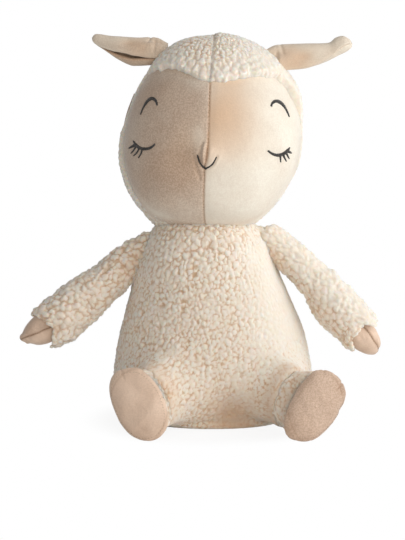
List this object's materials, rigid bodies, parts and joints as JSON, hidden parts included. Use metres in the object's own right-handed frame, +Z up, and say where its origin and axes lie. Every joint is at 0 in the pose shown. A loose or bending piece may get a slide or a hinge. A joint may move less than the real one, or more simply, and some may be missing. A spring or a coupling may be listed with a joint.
{
  "type": "plush sheep",
  "caption": "Seated plush sheep with a cream fleece body and hood, a smooth beige face with closed eyes, folded ears, brown-beige hands and soles, and a stuffed body that sits upright.",
  "frame": {"origin": "centre of the flat seat at floor level", "axes": "+Z up, the face looks along -Y, the toy's own left side is +X"},
  "size_m": [0.3199, 0.1923, 0.3483],
  "materials": {
    "fleece": "matte curly fleece",
    "velour": "matte short nap",
    "suede": "matte brushed",
    "thread": "satin embroidery",
    "stuffing": "matte fibre",
    "pellets": "matte bag"
  },
  "bodies": {
    "torso": {"body_front_panel": "fleece", "body_back_panel_left": "fleece", "body_back_panel_right": "fleece", "seat_panel": "fleece", "body_stuffing": "stuffing", "pellet_bag": "pellets"},
    "neck": {"neck_wad": "stuffing"},
    "head": {"face_panel_left": "velour", "face_panel_right": "velour", "hood_panel_left": "fleece", "hood_panel_right": "fleece", "head_stuffing": "stuffing", "eye_left": "thread", "eye_right": "thread", "brow_left": "thread", "brow_right": "thread", "mouth": "thread"},
    "left_ear": {"ear_left_outer": "velour", "ear_left_lining": "velour"},
    "right_ear": {"ear_right_outer": "velour", "ear_right_lining": "velour"},
    "left_shoulder": {"shoulder_wad_left": "stuffing"},
    "right_shoulder": {"shoulder_wad_right": "stuffing"},
    "left_arm": {"sleeve_left": "fleece", "hand_upper_left": "suede", "hand_lower_left": "suede", "arm_stuffing_left": "stuffing"},
    "right_arm": {"sleeve_right": "fleece", "hand_upper_right": "suede", "hand_lower_right": "suede", "arm_stuffing_right": "stuffing"},
    "left_hip": {"hip_wad_left": "stuffing"},
    "right_hip": {"hip_wad_right": "stuffing"},
    "left_foot": {"leg_left": "fleece", "foot_band_left": "suede", "sole_left": "suede", "leg_stuffing_left": "stuffing"},
    "right_foot": {"leg_right": "fleece", "foot_band_right": "suede", "sole_right": "suede", "leg_stuffing_right": "stuffing"},
    "rump_tail": {"tail": "fleece"}
  },
  "joints": [
    {"name": "head_turn", "type": "hinge", "parent": "torso", "child": "neck", "pos_m": [-0.006, 0, 0.136], "axis": [0, 0, 1], "range_deg": [-24, 24], "stiffness_Nm_per_rad": 0.6},
    {"name": "head_nod", "type": "hinge", "parent": "neck", "child": "head", "pos_m": [-0.006, 0, 0.136], "axis": [1, 0, 0], "range_deg": [-12, 13], "stiffness_Nm_per_rad": 1.2},
    {"name": "left_ear_flap", "type": "hinge", "parent": "head", "child": "left_ear", "pos_m": [0.05134, -0.00401, 0.32376], "axis": [-0.0698, -0.9976, 0], "range_deg": [-40, 20], "stiffness_Nm_per_rad": 0.03},
    {"name": "right_ear_flap", "type": "hinge", "parent": "head", "child": "right_ear", "pos_m": [-0.04746, 0.0029, 0.32791], "axis": [0.0698, 0.9976, 0], "range_deg": [-40, 20], "stiffness_Nm_per_rad": 0.03},
    {"name": "left_arm_swing", "type": "hinge", "parent": "torso", "child": "left_shoulder", "pos_m": [0.04911, -0.004, 0.16], "axis": [0, 0, -1], "range_deg": [-20, 20], "stiffness_Nm_per_rad": 0.25},
    {"name": "left_arm_lift", "type": "hinge", "parent": "left_shoulder", "child": "left_arm", "pos_m": [0.04911, -0.004, 0.16], "axis": [0, -1, 0], "range_deg": [-8, 47], "stiffness_Nm_per_rad": 0.3},
    {"name": "right_arm_swing", "type": "hinge", "parent": "torso", "child": "right_shoulder", "pos_m": [-0.06267, -0.004, 0.156], "axis": [0, 0, 1], "range_deg": [-20, 20], "stiffness_Nm_per_rad": 0.25},
    {"name": "right_arm_lift", "type": "hinge", "parent": "right_shoulder", "child": "right_arm", "pos_m": [-0.06267, -0.004, 0.156], "axis": [0, 1, 0], "range_deg": [-8, 47], "stiffness_Nm_per_rad": 0.3},
    {"name": "left_leg_splay", "type": "hinge", "parent": "torso", "child": "left_hip", "pos_m": [0.058, -0.05205, 0.0305], "axis": [0, 0, 1], "range_deg": [-12, 12], "stiffness_Nm_per_rad": 0.4},
    {"name": "left_leg_lift", "type": "hinge", "parent": "left_hip", "child": "left_foot", "pos_m": [0.058, -0.05205, 0.0305], "axis": [-1, 0, 0], "range_deg": [-20, 35], "stiffness_Nm_per_rad": 0.5},
    {"name": "right_leg_splay", "type": "hinge", "parent": "torso", "child": "right_hip", "pos_m": [-0.046, -0.0587, 0.0305], "axis": [0, 0, -1], "range_deg": [-12, 12], "stiffness_Nm_per_rad": 0.4},
    {"name": "right_leg_lift", "type": "hinge", "parent": "right_hip", "child": "right_foot", "pos_m": [-0.046, -0.0587, 0.0305], "axis": [-1, 0, 0], "range_deg": [-20, 35], "stiffness_Nm_per_rad": 0.5},
    {"name": "tail_flex", "type": "hinge", "parent": "torso", "child": "rump_tail", "pos_m": [0, 0.06789, 0.046], "axis": [1, 0, 0], "range_deg": [-25, 25], "stiffness_Nm_per_rad": 0.03}
  ]
}
